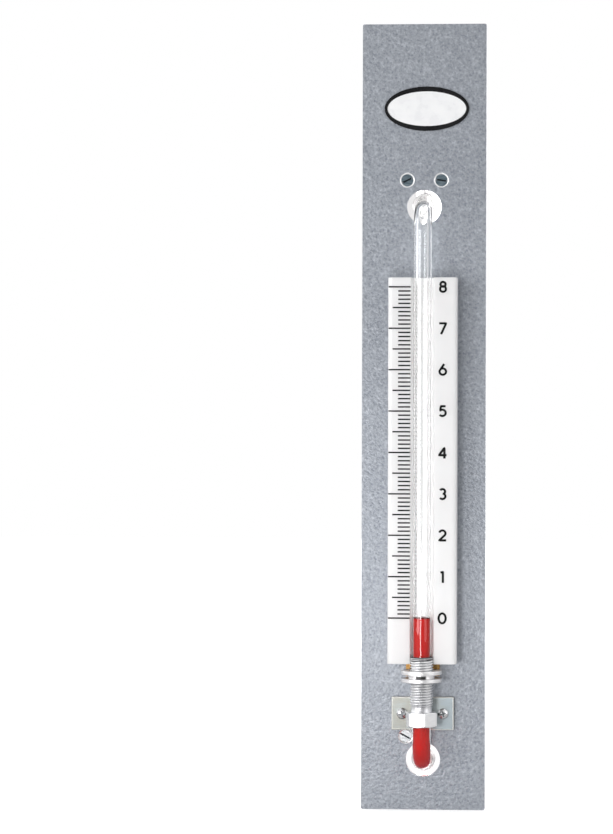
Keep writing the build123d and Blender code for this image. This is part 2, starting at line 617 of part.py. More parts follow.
def plug():
    """The screw plug of a block, about its own axis with z = 0 at the block's top face."""
    body = BLOCK_BORE / 2 - PLUG_CLEARANCE
    section = PLUG_RING_SECTION
    groove = BLOCK_BORE / 2 - section - 2.5 * RING_CLEARANCE
    groove_top, groove_foot = -PLUG_RING_DEPTH + section / 2 + 0.3, -PLUG_RING_DEPTH - section / 2 - 0.3
    outside = turned((0, CAP_GAP + 1), (body, CAP_GAP + 1), (body, groove_top), (groove, groove_top),
                     (groove, groove_foot), (body, groove_foot), (body, -PLUG_LENGTH), (0, -PLUG_LENGTH))
    cap = Pos(0, 0, CAP_GAP) * hexagon(CAP_ACROSS_FLATS, CAP_HEIGHT, CAP_CHAMFER, False)
    stem, tip = STEM_DIAMETER / 2 + STEM_CLEARANCE, STEM_TIP_DIAMETER / 2 + STEM_CLEARANCE
    socket, foot = CAGE_DIAMETER / 2 + SEAT_GAP, -PLUG_LENGTH - 1
    lip_foot = -PLUG_LENGTH + CAGE_SOCKET
    lip_top, top = lip_foot + PLUG_LIP, CAP_HEIGHT + 1
    inside = turned((0, top), (stem, top), (stem, lip_top), (tip, lip_top), (tip, lip_foot),
                    (socket, lip_foot), (socket, foot), (0, foot))
    return outside + cap - inside


def plug_ring():
    """The rubber ring in the plug's groove."""
    radius = BLOCK_BORE / 2 - PLUG_RING_SECTION / 2 - 1.5 * RING_CLEARANCE
    return ring(PLUG_RING_SECTION, radius, -PLUG_RING_DEPTH)


def connector():
    """The hollow stem and its side arm, fully raised, about the plug's axis."""
    stem, tip = STEM_DIAMETER / 2, STEM_TIP_DIAMETER / 2
    section = STEM_RING_SECTION
    groove = stem + STEM_CLEARANCE - section - 2 * RING_CLEARANCE
    groove_top, groove_foot = -STEM_RING_DEPTH + section / 2 + 0.2, -STEM_RING_DEPTH - section / 2 - 0.2
    top = ARM_RISE + STEM_ABOVE_ARM
    upright = turned((0, top), (stem, top), (stem, groove_top), (groove, groove_top), (groove, groove_foot),
                     (stem, groove_foot), (stem, -STEM_SHOULDER_DEPTH), (tip, -STEM_SHOULDER_DEPTH),
                     (tip, -SEAT_DEPTH), (0, -SEAT_DEPTH))
    upright = fillet(upright.edges().sort_by(Axis.Z)[-1], STEM_ROUNDING)
    arm, barb, nose = ARM_DIAMETER / 2, BARB_DIAMETER / 2, BARB_NOSE_DIAMETER / 2
    land_end = ARM_REACH - BARB_NOSE
    land_start = land_end - BARB_LAND
    side = turned((0, 0), (arm, 0), (arm, land_start - 1), (barb, land_start), (barb, land_end),
                  (nose, ARM_REACH), (0, ARM_REACH))
    arm_place = Pos(0, 0, ARM_RISE) * Rot(X=-90)
    down, out = (-SEAT_DEPTH - 1, ARM_RISE), (0, ARM_REACH + 1)
    flow = rod(Pos(0, 0, 0), FLOW_BORE, *down) + rod(arm_place, FLOW_BORE, *out)
    return upright + arm_place * side - flow


def stem_ring():
    """The rubber ring in the stem's groove."""
    radius = STEM_DIAMETER / 2 + STEM_CLEARANCE - STEM_RING_SECTION / 2 - RING_CLEARANCE
    return ring(STEM_RING_SECTION, radius, -STEM_RING_DEPTH)


def seat_disc():
    """The rubber seat on the stem's lower end."""
    bore, outer, edge = FLOW_BORE / 2, SEAT_DIAMETER / 2, SEAT_EDGE
    high, low = -SEAT_DEPTH, -SEAT_DEPTH - SEAT_THICKNESS
    return turned((bore, high), (outer, high), (outer, low + edge), (outer - edge, low), (bore, low))


def float_body(foot_depth):
    """The waisted float with a notch across its foot, given the depth of its foot."""
    collar, foot = FLOAT_DIAMETER / 2, FLOAT_FOOT_DIAMETER / 2
    collar_z, foot_z = FLOAT_HEIGHT - FLOAT_COLLAR, FLOAT_FOOT
    waist = (FLOAT_WAIST / 2, (collar_z + foot_z) / 2)
    outline = Polyline((foot, foot_z), (foot, 0), (0, 0), (0, FLOAT_HEIGHT), (collar, FLOAT_HEIGHT),
                       (collar, collar_z))
    side = ThreePointArc((collar, collar_z), waist, (foot, foot_z))
    body = revolve(make_face(Plane.XZ * (Curve() + [outline, side])), Axis.Z)
    notch = Polyline((-NOTCH_WIDTH / 2, 0), (0, NOTCH_HEIGHT), (NOTCH_WIDTH / 2, 0), close=True)
    body -= extrude(make_face(Plane.YZ * notch), FLOAT_DIAMETER, both=True)
    return Pos(0, 0, -foot_depth) * body


def cage(foot_depth, snorkel_depth):
    """The clear sleeve round a float. The well's also has a collar and a snorkel to snorkel_depth."""
    outer, bore, lip = CAGE_DIAMETER / 2, CAGE_BORE / 2, CAGE_LIP_BORE / 2
    top = -PLUG_LENGTH + CAGE_SOCKET - SEAT_GAP
    floor = -foot_depth - SEAT_GAP
    sleeve = turned((bore, top), (outer, top), (outer, floor - CAGE_LIP), (lip, floor - CAGE_LIP),
                    (lip, floor), (bore, floor))
    if snorkel_depth:
        collar, snorkel = CAGE_RING_DIAMETER / 2, SNORKEL_DIAMETER / 2
        ring_foot = floor - CAGE_RING
        sleeve += turned((lip, floor), (collar, floor), (collar, ring_foot), (snorkel, ring_foot),
                         (snorkel, -snorkel_depth), (lip, -snorkel_depth))
    return sleeve


def chamber_set(name, bore_backset, block_top, drop, float_depth, snorkel_depth):
    """Every piece that goes into a block from above, with its connector screwed down by drop."""
    place = Pos(0, BLOCK_FRONT_Y + bore_backset, height(block_top))
    lowered = place * Pos(0, 0, -drop)
    return {
        name + "_plug": place * plug(),
        name + "_plug_ring": place * plug_ring(),
        name + "_cage": place * cage(float_depth, snorkel_depth),
        name + "_float": place * float_body(float_depth),
        name + "_connector": lowered * connector(),
        name + "_stem_ring": lowered * stem_ring(),
        name + "_seat_disc": lowered * seat_disc(),
    }


def manometer():
    """All pieces by name, at rest."""
    pieces = {
        "back_panel": back_panel(),
        "oval_plate": oval_plate(),
        "trap_block": trap_block(),
        "well_block": well_block(),
        "trap_screws": block_screws(screw_places(TRAP_SCREWS, TRAP_BLOCK_FOOT)),
        "well_screws": block_screws(screw_places(WELL_SCREWS, WELL_BLOCK_FOOT)),
        "indicating_tube": indicating_tube(),
        "elbow_tube": elbow_tube(),
        "trap_tube_ring": tube_ring(TRAP_PORT_SLOPE, TRAP_PORT_HEIGHT),
        "well_tube_ring": tube_ring(WELL_PORT_SLOPE, WELL_PORT_HEIGHT),
        "tube_liquid": tube_liquid(),
        "well_liquid": well_liquid(),
        "tube_fitting": tube_fitting(),
        "packing_ring": packing_ring(),
        "zero_nut": zero_nut(),
        "scale_bar": scale_bar(),
        "scale_bracket": scale_bracket(),
        "bracket_screws": bracket_screws(),
        "clamp_plate": clamp_plate(),
        "clamp_stud": clamp_stud(),
        "clamp_washers": clamp_washers(),
        "clamp_screws": clamp_screws(),
    }
    pieces |= chamber_set("trap", TRAP_BORE_BACKSET, TRAP_BLOCK_TOP, 0, TRAP_FLOAT_FOOT_DEPTH, 0)
    pieces |= chamber_set("well", WELL_BORE_BACKSET, WELL_BLOCK_TOP, WELL_CONNECTOR_DROP,
                          WELL_FLOAT_FOOT_DEPTH, SNORKEL_DEPTH)
    return pieces


os.makedirs("parts", exist_ok=True)
for node, shape in manometer().items():
    export_step(shape, f"parts/{node}.step")
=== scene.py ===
import json
from math import cos, pi, radians, sin, tau

import bpy
from mathutils import Matrix, Vector


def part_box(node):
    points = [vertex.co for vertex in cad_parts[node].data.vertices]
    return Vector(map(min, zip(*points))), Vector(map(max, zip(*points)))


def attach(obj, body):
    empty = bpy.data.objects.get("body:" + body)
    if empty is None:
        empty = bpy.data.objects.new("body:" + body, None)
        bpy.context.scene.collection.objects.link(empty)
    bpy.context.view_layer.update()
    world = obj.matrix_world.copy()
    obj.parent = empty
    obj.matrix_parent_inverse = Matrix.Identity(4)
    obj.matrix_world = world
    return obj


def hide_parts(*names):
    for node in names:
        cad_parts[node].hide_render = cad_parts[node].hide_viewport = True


# Well-type manometer: the finishes, threads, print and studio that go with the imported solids.
# X runs to the right, Y back to the wall and Z upwards. Lengths are written in millimetres,
# and MM turns them into metres.

MM = 0.001
INCH = 25.4

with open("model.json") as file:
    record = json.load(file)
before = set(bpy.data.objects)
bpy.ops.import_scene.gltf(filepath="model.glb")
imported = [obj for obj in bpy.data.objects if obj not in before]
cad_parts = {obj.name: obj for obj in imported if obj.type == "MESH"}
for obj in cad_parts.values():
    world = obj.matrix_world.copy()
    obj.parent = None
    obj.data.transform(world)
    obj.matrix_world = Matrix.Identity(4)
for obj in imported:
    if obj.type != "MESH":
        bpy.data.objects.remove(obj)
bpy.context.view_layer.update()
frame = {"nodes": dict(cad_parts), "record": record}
nodes = frame["nodes"]


def box_mm(node):
    """A node's lowest and highest corners in millimetres, to a hundredth."""
    return [[round(value / MM, 2) for value in corner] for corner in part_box(node)]


def middle(node):
    """The middle of a node's box in millimetres."""
    return [(low + high) / 2 for low, high in zip(*box_mm(node))]


# Places that the frame gives
PANEL_FOOT_Z = box_mm("back_panel")[0][2]
PANEL_FRONT_Y = box_mm("back_panel")[0][1]
TUBE_Y = middle("zero_nut")[1]
LIQUID_TOP_Z = box_mm("tube_liquid")[1][2]


class Graph:
    """The shader nodes of a material or a world. An input may be a value, an rgb or a node's output."""

    def __init__(self, owner):
        owner.use_nodes = True
        self.tree = owner.node_tree
        self.tree.nodes.clear()

    def put(self, value, socket):
        if isinstance(value, bpy.types.NodeSocket):
            self.tree.links.new(value, socket)
        elif socket.type == "RGBA":
            socket.default_value = (*value, 1)
        else:
            socket.default_value = value

    def node(self, kind, options=None, **inputs):
        """A new node with its options set, and its inputs by name, with _ for a space."""
        node = self.tree.nodes.new("ShaderNode" + kind)
        for name, value in (options or {}).items():
            setattr(node, name, value)
        for name, value in inputs.items():
            self.put(value, node.inputs[name.replace("_", " ")])
        return node

    def in_order(self, kind, values, options=None):
        """The first output of a new node whose inputs are set one after the other."""
        node = self.node(kind, options)
        for value, socket in zip(values, node.inputs):
            self.put(value, socket)
        return node.outputs[0]

    def at(self, stretch=(1, 1, 1)):
        """Object coordinates in metres, stretched."""
        source = self.node("TexCoord").outputs["Object"]
        return self.node("Mapping", Vector=source, Scale=stretch).outputs["Vector"]

    def place(self, space="Object"):
        """The x, y and z of the shaded point, which object space gives in metres."""
        return tuple(self.node("SeparateXYZ", Vector=self.node("TexCoord").outputs[space]).outputs)

    def noise(self, vector, scale, detail=3, roughness=0.5):
        node = self.node("TexNoise", Vector=vector, Scale=scale, Detail=detail, Roughness=roughness)
        return node.outputs["Fac"]

    def cells(self, vector, scale):
        """The distance from the middle of the nearest cell."""
        node = self.node("TexVoronoi", {"feature": "SMOOTH_F1"}, Vector=vector, Scale=scale)
        return node.outputs["Distance"]

    def ramp(self, value, *stops):
        """A smooth colour ramp through (position, rgb) stops."""
        node = self.node("ValToRGB", Fac=value)
        node.color_ramp.interpolation = "EASE"
        elements = node.color_ramp.elements
        while len(elements) < len(stops):
            elements.new(0.5)
        for element, (position, colour) in zip(elements, stops):
            element.position = position
            element.color = (*colour, 1)
        return node.outputs["Color"]

    def mottled(self, value, dark, light):
        """From dark to light as value, a noise, rises through its middle range."""
        return self.ramp(value, (0.3, dark), (0.7, light))

    def blend(self, factor, first, second):
        """The first colour where factor is 0, the second where it is 1."""
        node = self.node("Mix", {"data_type": "RGBA"}, Factor=factor, A=first, B=second)
        return node.outputs["Result"]

    def spread(self, value, low, high, start=0.0, end=1.0):
        """Goes from low to high as value runs from start to end, and stays there past them."""
        node = self.node("MapRange", Value=value, From_Min=start, From_Max=end, To_Min=low, To_Max=high)
        return node.outputs["Result"]

    def math(self, operation, *values):
        return self.in_order("Math", values, {"operation": operation})

    def plus(self, first, *others):
        for other in others:
            first = self.math("ADD", first, other)
        return first

    def times(self, first, *others):
        for other in others:
            first = self.math("MULTIPLY", first, other)
        return first

    def away(self, value, centre):
        """How far value is from centre, either side."""
        return self.math("ABSOLUTE", self.math("SUBTRACT", value, centre))

    def reach(self, a, b):
        """The distance of (a, b) from the origin."""
        return self.math("SQRT", self.plus(self.times(a, a), self.times(b, b)))


class Surface(Graph):
    """A material with one Principled shader, whose plain settings are given by name."""

    def __init__(self, name, **settings):
        self.material = bpy.data.materials.new(name)
        super().__init__(self.material)
        self.shader = self.node("BsdfPrincipled", **settings)
        self.node("OutputMaterial", Surface=self.shader.outputs["BSDF"])

    def finish(self, colour, rough, relief, depth, strength):
        """Links a colour, a roughness and bumps of a depth in metres, and gives back the material."""
        bumps = self.node("Bump", Height=relief, Distance=depth, Strength=strength).outputs["Normal"]
        for name, value in (("Base Color", colour), ("Roughness", rough), ("Normal", bumps)):
            self.put(value, self.shader.inputs[name])
        return self.material


# Masks of painted shade: each rises to 1, or nearly, where a surface is painted darker in place of shade

def thread_roots(graph, x, y, z):
    """Painted shade in the roots of the fitting's thread and its neck, with a painted dark reflection most
    of all in the middle seen from the front.
    """
    radius = graph.reach(x, graph.math("SUBTRACT", y, TUBE_Y * MM))
    root = graph.spread(radius, 0.9, 0.0, 6.45 * MM, 6.90 * MM)
    return graph.times(root, graph.spread(graph.math("ABSOLUTE", x), 1.0, 0.6, 2.6 * MM, 3.6 * MM))


def groove_centre(graph, x, y, z):
    """Painted shade: a short patch low on the front of the nut's groove, which faces the dark side of the
    room.
    """
    radius = graph.reach(x, graph.math("SUBTRACT", y, TUBE_Y * MM))
    deep = graph.spread(radius, 1.0, 0.0, 8.3 * MM, 8.8 * MM)
    narrow = graph.spread(graph.math("ABSOLUTE", x), 1.0, 0.0, 2.8 * MM, 3.6 * MM)
    nut_z = middle("zero_nut")[2]
    low = graph.spread(z, 1.0, 0.0, (nut_z + 0.3) * MM, (nut_z + 0.6) * MM)
    return graph.times(deep, narrow, low)


def slots(graph, x, y, z):
    """Painted shade in the slots of the block screws, told by their depth behind the panel's face."""
    below = graph.spread(y, 0.0, 1.0, (PANEL_FRONT_Y + 0.76) * MM, (PANEL_FRONT_Y + 0.92) * MM)
    in_head = graph.spread(y, 1.0, 0.0, (PANEL_FRONT_Y + 2.6) * MM, (PANEL_FRONT_Y + 2.8) * MM)
    return graph.times(below, in_head)


def cross_recess(graph, x, y, z):
    """Painted shade in the cross recess of the clamp screws, told by the depth below their round heads."""
    plate_front, plate_z = box_mm("clamp_plate")[0][1], middle("clamp_plate")[2]
    half_spacing, crown_rise, crown_fall = 12.7, 3.0, 0.14
    across = graph.math("SUBTRACT", graph.math("ABSOLUTE", x), half_spacing * MM)
    radius = graph.reach(across, graph.math("SUBTRACT", z, plate_z * MM))
    rise = graph.math("SUBTRACT", plate_front * MM, y)
    fall = graph.times(radius, radius, crown_fall / MM)
    depth = graph.math("SUBTRACT", graph.math("SUBTRACT", crown_rise * MM, fall), rise)
    below = graph.spread(depth, 0.0, 1.0, 0.25 * MM, 0.6 * MM)
    return graph.times(below, graph.spread(radius, 1.0, 0.0, 2.1 * MM, 2.4 * MM))


# Materials

def hammered_paint():
    """Grey hammered paint: shallow dimples with light ridges, a metallic fleck and slow changes of tone."""
    surface = Surface("hammered_paint", Metallic=0.5, Coat_Weight=0.1, Coat_Roughness=0.35)
    at = surface.at()
    dimples = surface.cells(at, scale=560)
    ripple = surface.noise(at, scale=800, detail=2)
    fleck = surface.noise(at, scale=1100, roughness=0.6)
    slow = surface.noise(at, scale=14, detail=2)
    relief = surface.plus(dimples, surface.times(ripple, 0.9))
    tone = surface.plus(surface.times(fleck, 0.5), surface.times(slow, 0.14), surface.times(dimples, 0.3))
    colour = surface.ramp(
        tone,
        (0.30, (0.25, 0.27, 0.31)),
        (0.46, (0.35, 0.372, 0.412)),
        (0.62, (0.48, 0.505, 0.55)),
    )
    return surface.finish(colour, surface.spread(relief, 0.34, 0.46), relief, depth=0.3 * MM, strength=0.6)


def gauge_liquid():
    """Deep red oil, with painted shade in a thin band at the rim of the tube's meniscus."""
    surface = Surface("gauge_liquid", Transmission_Weight=0.3, IOR=1.04, Specular_IOR_Level=0.0)
    mottle = surface.noise(surface.at(), scale=40, detail=2)
    body = surface.mottled(mottle, (0.61, 0.005, 0.003), (0.67, 0.010, 0.005))
    z = surface.place()[2]
    # Painted shade: the oil turns a much darker red in the last 1.2 mm below its top, where the meniscus
    # looks dark.
    rim = surface.spread(z, 0.0, 1.0, (LIQUID_TOP_Z - 1.2) * MM, (LIQUID_TOP_Z - 0.6) * MM)
    colour = surface.blend(rim, body, (0.10, 0.002, 0.002))
    return surface.finish(colour, surface.spread(mottle, 0.0, 0.02), mottle, depth=0.001 * MM, strength=0.3)


def clear(name, tint, ior, rough, stretch=(1, 1, 1), depth=0.004):
    """Clear plastic with a faint ripple in its surface."""
    surface = Surface(name, Transmission_Weight=1.0, IOR=ior)
    ripple = surface.noise(surface.at(stretch), scale=40, detail=2)
    lighter = tuple(min(1.0, part * 1.02) for part in tint)
    colour = surface.mottled(ripple, tint, lighter)
    return surface.finish(colour, surface.spread(ripple, *rough), ripple, depth * MM, strength=0.3)


def plastic(name, dark, light, rough, scale=60, depth=0.01, **settings):
    """Solid plastic, rubber or ink with faint mottling."""
    surface = Surface(name, **settings)
    at = surface.at()
    mottle = surface.noise(at, scale)
    grain = surface.noise(at, scale=2500, detail=2)
    colour = surface.mottled(mottle, dark, light)
    return surface.finish(colour, surface.spread(grain, *rough), grain, depth * MM, strength=0.6)


def metal(name, dark, light, rough, streaks=(1, 1, 1), scale=300, depth=0.01, painted_shade=None, mask=None):
    """Plated or bare metal with fine streaks or grain, in the colour of painted shade where mask gives 1."""
    surface = Surface(name, Metallic=1.0)
    grain = surface.noise(surface.at(streaks), scale, detail=4, roughness=0.6)
    colour = surface.mottled(grain, dark, light)
    if mask:
        colour = surface.blend(mask(surface, *surface.place()), colour, painted_shade)
    return surface.finish(colour, surface.spread(grain, *rough), grain, depth * MM, strength=0.5)


def plated_plate():
    """Zinc plate with upright streaks and a painted highlight along its edges, bluish at the right and
    yellowish at the left.
    """
    surface = Surface("plated_plate", Metallic=0.9)
    low, high = (Vector(corner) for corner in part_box("clamp_plate"))
    centre, half = (low + high) / 2, (high - low) / 2
    x, _, z = surface.place()
    margin_x = surface.math("SUBTRACT", surface.away(x, centre.x), half.x)
    margin_z = surface.math("SUBTRACT", surface.away(z, centre.z), half.z)
    edge_highlight = surface.spread(surface.math("MAXIMUM", margin_x, margin_z), 0.0, 1.0, -0.8 * MM, -0.3 * MM)
    grain = surface.noise(surface.at((1, 1, 14)), scale=180, detail=4, roughness=0.6)
    cloud = surface.noise(surface.at(), scale=70)
    tone = surface.plus(surface.times(grain, 0.45), surface.times(cloud, 0.55))
    face = surface.ramp(
        surface.plus(surface.times(x, -9.0), tone),
        (0.36, (0.36, 0.41, 0.435)),
        (0.50, (0.345, 0.375, 0.375)),
        (0.64, (0.335, 0.335, 0.305)),
    )
    # Painted highlight: a pale cream line along the plate's edges.
    bright = surface.mottled(cloud, (0.80, 0.79, 0.72), (0.92, 0.91, 0.87))
    colour = surface.blend(edge_highlight, face, bright)
    return surface.finish(colour, surface.spread(tone, 0.28, 0.44), grain, depth=0.02 * MM, strength=0.5)


def enamelled_oval():
    """White field with a black rim, which is wider above and below the field than beside it."""
    surface = Surface("enamel_badge", Coat_Weight=0.1, Coat_Roughness=0.2, Specular_IOR_Level=0.3)
    low, high = (Vector(corner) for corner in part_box("oval_plate"))
    centre, half = (low + high) / 2, (high - low) / 2
    rim_beside, rim_above = 1.9 * MM, 3.0 * MM
    x, _, z = surface.place()
    across = surface.math("DIVIDE", surface.math("SUBTRACT", x, centre.x), half.x - rim_beside)
    upright = surface.math("DIVIDE", surface.math("SUBTRACT", z, centre.z), half.z - rim_above)
    ellipse = surface.plus(surface.math("POWER", across, 2.0), surface.math("POWER", upright, 2.0))
    rim = surface.spread(ellipse, 0.0, 1.0, 0.99, 1.02)
    grain = surface.noise(surface.at(), scale=120)
    white = surface.mottled(grain, (0.84, 0.84, 0.85), (0.9, 0.9, 0.9))
    black = surface.mottled(grain, (0.004, 0.004, 0.005), (0.009, 0.009, 0.010))
    colour = surface.blend(rim, white, black)
    return surface.finish(colour, surface.spread(grain, 0.22, 0.34), grain, depth=0.01 * MM, strength=0.4)


SLOT_MATERIALS = {
    "panel_paint": hammered_paint(),
    "oval_enamel": enamelled_oval(),
    "clear_block": clear("acrylic_block", (0.965, 0.955, 0.96), ior=1.49, rough=(0.0, 0.03)),
    "clear_tube": clear(
        "clear_tube", (0.975, 0.98, 0.98), ior=1.585, rough=(0.0, 0.01), stretch=(1, 1, 0.08), depth=0.001,
    ),
    "clear_cage": clear("clear_cage", (0.95, 0.945, 0.95), ior=1.47, rough=(0.02, 0.08)),
    "milky_nylon": plastic(
        "milky_nylon", (0.88, 0.865, 0.83), (0.95, 0.94, 0.92), rough=(0.3, 0.42), scale=90,
        Transmission_Weight=0.25, IOR=1.5,
        Subsurface_Weight=0.7, Subsurface_Scale=0.006, Subsurface_Radius=(1.0, 0.95, 0.9),
    ),
    "tan_float": plastic(
        "tan_float", (0.42, 0.20, 0.15), (0.56, 0.30, 0.235), rough=(0.4, 0.55), scale=300, depth=0.02,
    ),
    "seal_rubber": plastic(
        "seal_rubber", (0.010, 0.010, 0.012), (0.022, 0.022, 0.026), rough=(0.35, 0.5), scale=200,
    ),
    "pale_seal": plastic(
        "pale_seal", (0.86, 0.85, 0.84), (0.93, 0.93, 0.92), rough=(0.3, 0.4), scale=200,
        Transmission_Weight=0.6, IOR=1.42,
    ),
    "gauge_liquid": gauge_liquid(),
    "bright_nickel": metal(
        "bright_nickel", (0.72, 0.72, 0.73), (0.86, 0.86, 0.86), rough=(0.12, 0.22),
        streaks=(1, 1, 6), scale=220,
    ),
    "zinc_screw": metal(
        "zinc_screw", (0.17, 0.21, 0.25), (0.30, 0.36, 0.41), rough=(0.28, 0.4), scale=500,
    ),
    "dark_steel": metal(
        "dark_steel", (0.03, 0.035, 0.036), (0.07, 0.08, 0.08), rough=(0.25, 0.35), scale=400,
    ),
    "yellow_zinc": plated_plate(),
    "strip_brass": metal(
        "strip_brass", (0.36, 0.19, 0.06), (0.62, 0.38, 0.15), rough=(0.35, 0.5), scale=420, depth=0.03,
    ),
    "white_scale": plastic(
        "white_scale", (0.78, 0.77, 0.77), (0.81, 0.805, 0.805), rough=(0.34, 0.44), scale=25, depth=0.006,
        Coat_Weight=0.15, Coat_Roughness=0.25,
        Subsurface_Weight=0.6, Subsurface_Scale=0.008, Subsurface_Radius=(1.0, 0.97, 0.96),
    ),
}
BARE_STEEL = metal("bare_steel", (0.88, 0.88, 0.88), (0.96, 0.96, 0.96), rough=(0.45, 0.55), scale=400)
BLACK_INK = plastic(
    "black_ink", (0.006, 0.006, 0.006), (0.014, 0.014, 0.014), rough=(0.5, 0.65), scale=500, depth=0.004,
    Specular_IOR_Level=0.1,
)


def masked_metal(name, dark, light, rough, painted_shade, mask):
    """Plated metal with upright grain, in the colour of painted shade where mask gives 1."""
    return metal(name, dark, light, rough, streaks=(1, 1, 5), scale=240, painted_shade=painted_shade, mask=mask)


# Painted shade: the thread's roots and neck turn to the darker grey given below.
THREADED_NICKEL = masked_metal(
    "threaded_nickel", (0.90, 0.90, 0.91), (0.97, 0.97, 0.97), rough=(0.34, 0.44),
    painted_shade=(0.46, 0.46, 0.48), mask=thread_roots,
)
OWN_MATERIALS = {
    # Painted shade: a patch low in the nut's groove turns near black.
    "zero_nut": masked_metal(
        "nut_nickel", (0.82, 0.81, 0.82), (0.93, 0.92, 0.92), rough=(0.34, 0.44),
        painted_shade=(0.06, 0.06, 0.06), mask=groove_centre,
    ),
    # Painted shade in the slots of the block screws.
    "trap_screws": masked_metal(
        "slotted_zinc", (0.15, 0.21, 0.25), (0.30, 0.37, 0.42), rough=(0.28, 0.4),
        painted_shade=(0.05, 0.062, 0.07), mask=slots,
    ),
    # Painted light: the well screws' zinc is much lighter than the other zinc, as if lit more, and their
    # slots get painted shade.
    "well_screws": masked_metal(
        "zinc_painted_lit", (0.48, 0.50, 0.52), (0.64, 0.65, 0.66), rough=(0.3, 0.4),
        painted_shade=(0.05, 0.055, 0.06), mask=slots,
    ),
    # Painted shade in the cross recesses of the clamp screws.
    "clamp_screws": masked_metal(
        "crossed_nickel", (0.70, 0.70, 0.71), (0.84, 0.84, 0.84), rough=(0.2, 0.3),
        painted_shade=(0.15, 0.16, 0.17), mask=cross_recess,
    ),
}


def paint(obj, material):
    obj.data.materials.clear()
    obj.data.materials.append(material)


def paint_nodes():
    """Gives every solid its finish, and lets light through the clear ones."""
    for part in frame["record"]["subparts"]:
        node, slot = part["node"], part["material_slot"]
        paint(nodes[node], OWN_MATERIALS.get(node, SLOT_MATERIALS[slot]))
        if slot.startswith("clear"):
            nodes[node].visible_shadow = False


# Shapes

SHARP_FROM = radians(38)


def add_mesh(name, points, faces, smooth=True):
    """A new object from points in millimetres."""
    mesh = bpy.data.meshes.new(name)
    mesh.from_pydata([Vector(point) * MM for point in points], [], faces)
    mesh.validate()
    obj = bpy.data.objects.new(name, mesh)
    bpy.context.collection.objects.link(obj)
    if smooth:
        mesh.polygons.foreach_set("use_smooth", [True] * len(mesh.polygons))
        mesh.set_sharp_from_angle(angle=SHARP_FROM)
    return obj


def dress(obj, material, body):
    """Paints a piece and lets it move with a body."""
    paint(obj, material)
    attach(obj, body)


def about_upright(x, y):
    """A function from (along, radius, angle) to a point, about an upright axis at x and y."""
    return lambda along, radius, angle: (x + radius * cos(angle), y + radius * sin(angle), along)


def about_level(x, z):
    """A function from (along, radius, angle) to a point, about an axis from front to back at x and z."""
    return lambda along, radius, angle: (x + radius * cos(angle), along, z + radius * sin(angle))


def turned(name, rows, to_point, count=96):
    """A closed turned body. A row is a distance along its axis, and a radius or a function of the angle."""
    points, faces = [], []
    for along, radius in rows:
        for angle in (tau * k / count for k in range(count)):
            points.append(to_point(along, radius(angle) if callable(radius) else radius, angle))
    for row in range(len(rows)):
        a, b = row * count, (row + 1) % len(rows) * count
        faces += [(a + k, a + (k + 1) % count, b + (k + 1) % count, b + k) for k in range(count)]
    return add_mesh(name, points, faces)


def hexagon(across, turn, limit):
    """A hexagon's radius as a function of the angle, cut back to limit."""
    def radius(angle):
        offset = (angle - turn) % (pi / 3) - pi / 6
        return min(across / 2 / cos(offset), limit)
    return radius


def chamfer_rows(start, end, across, turn, steps):
    """Rows of a hexagon with its corners turned off, from a round face at start to full corners at end."""
    flat, grow = across / 2, 2 * abs(end - start)
    shares = [k / steps for k in range(steps + 1)]
    return [(start + (end - start) * share, hexagon(across, turn, flat + grow * share)) for share in shares]


def thread_rows(low, high, major, minor, lead, steps=8):
    """Rows of a right-hand thread that fades out at both ends, with a number of steps to each turn."""
    fade_length = 0.7 * lead
    flank_slope, crest = 2.6, 0.22
    rows = []
    count = round((high - low) / lead * steps)
    for j in range(count + 1):
        z = low + (high - low) * j / count
        fade = min(1.0, (z - low) / fade_length, (high - z) / fade_length)

        def radius(angle, z=z, fade=fade):
            phase = ((z - low) / lead - angle / tau) % 1.0
            flank = min(1.0, max(0.0, abs(phase - 0.5) * flank_slope - crest))
            return major - (major - minor) * (flank if fade >= 1 else max(flank, 1 - fade))
        rows.append((z, radius))
    return rows


def make_fitting():
    """The plated fitting with its hexagon and its long thread."""
    bore, neck, across, turn, chamfer = 5.62, 6.4, 17.5, radians(-16), 0.8
    major, minor, lead = 7.145, 6.2, INCH / 16
    low, high = box_mm("tube_fitting")
    foot, top = low[2], high[2]
    hex_top = foot + 8.9
    thread_foot = hex_top + 3.5
    rows = [(foot, bore), (foot, across / 2 - 0.35)]
    rows += chamfer_rows(foot, foot + chamfer, across, turn, steps=4)
    rows += reversed(chamfer_rows(hex_top, hex_top - chamfer, across, turn, steps=4))
    rows += [(hex_top, neck + 0.1), (hex_top + 0.15, neck), (thread_foot - 0.2, neck)]
    rows += thread_rows(thread_foot, top - 0.35, major, minor, lead, steps=10)
    rows += [(top - 0.3, 6.9), (top, 6.6), (top, bore)]
    fitting = turned("threaded_fitting", rows, about_upright(0, TUBE_Y))
    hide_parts("tube_fitting")
    dress(fitting, THREADED_NICKEL, "stand")


